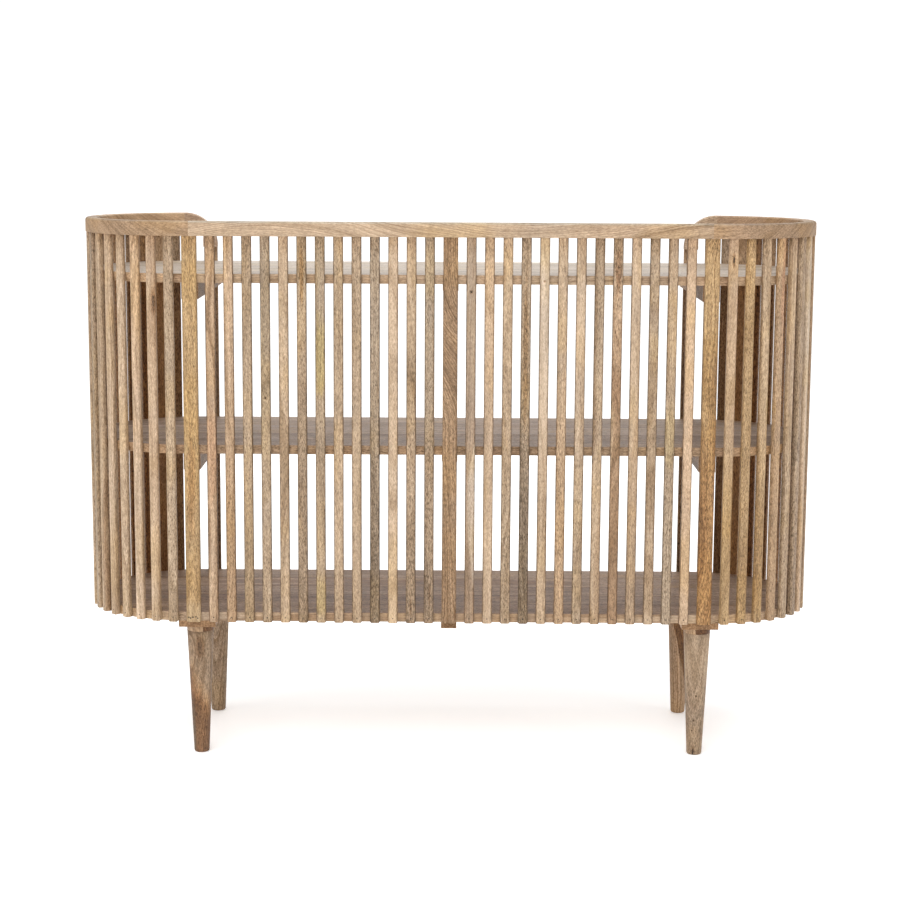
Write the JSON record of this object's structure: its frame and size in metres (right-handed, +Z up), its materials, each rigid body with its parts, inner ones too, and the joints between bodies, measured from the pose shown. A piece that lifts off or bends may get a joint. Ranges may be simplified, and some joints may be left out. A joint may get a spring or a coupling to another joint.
{
  "type": "open-backed slatted baby crib",
  "caption": "Baby crib body with round slatted ends, an open back, fixed boards between the slats and a rail round the top, standing on turned tapered legs.",
  "frame": {"origin": "on the floor under the middle of the body", "axes": "+X along the body to the right seen from the slatted front, +Y from the slatted front to the open back, +Z up"},
  "size_m": [1.25, 0.36, 0.91],
  "materials": {
    "front_rail": "open-pored, matt oiled",
    "end_rails": "open-pored, matt oiled",
    "knees": "open-pored, matt oiled",
    "centre_post": "open-pored, matt oiled",
    "left_front_post": "open-pored, matt oiled",
    "right_front_post": "open-pored, matt oiled",
    "back_posts": "open-pored, matt oiled",
    "front_slats": "open-pored, matt oiled",
    "end_slats": "open-pored, matt oiled",
    "top_board": "open-pored, matt oiled",
    "middle_board": "open-pored, matt oiled",
    "bottom_board": "open-pored, matt oiled",
    "battens": "open-pored, matt oiled",
    "leg_rails": "open-pored, matt oiled",
    "collars": "open-pored, matt oiled",
    "legs": "open-pored, matt oiled",
    "rail_dowels": "open-pored, matt oiled"
  },
  "bodies": {
    "root": {"front_rail": "front_rail", "left_end_rail": "end_rails", "right_end_rail": "end_rails", "left_knee": "knees", "right_knee": "knees", "centre_post": "centre_post", "left_front_post": "left_front_post", "right_front_post": "right_front_post", "left_back_post": "back_posts", "right_back_post": "back_posts", "front_left_slats": "front_slats", "front_right_slats": "front_slats", "left_end_slats": "end_slats", "right_end_slats": "end_slats", "top_board": "top_board", "middle_board": "middle_board", "bottom_board": "bottom_board", "top_centre_batten": "battens", "middle_centre_batten": "battens", "bottom_centre_batten": "battens", "top_left_batten": "battens", "top_right_batten": "battens", "middle_left_batten": "battens", "middle_right_batten": "battens", "left_leg_rail": "leg_rails", "right_leg_rail": "leg_rails", "front_left_collar": "collars", "front_right_collar": "collars", "back_left_collar": "collars", "back_right_collar": "collars", "front_left_leg": "legs", "front_right_leg": "legs", "back_left_leg": "legs", "back_right_leg": "legs", "rail_dowels": "rail_dowels"}
  },
  "joints": []
}
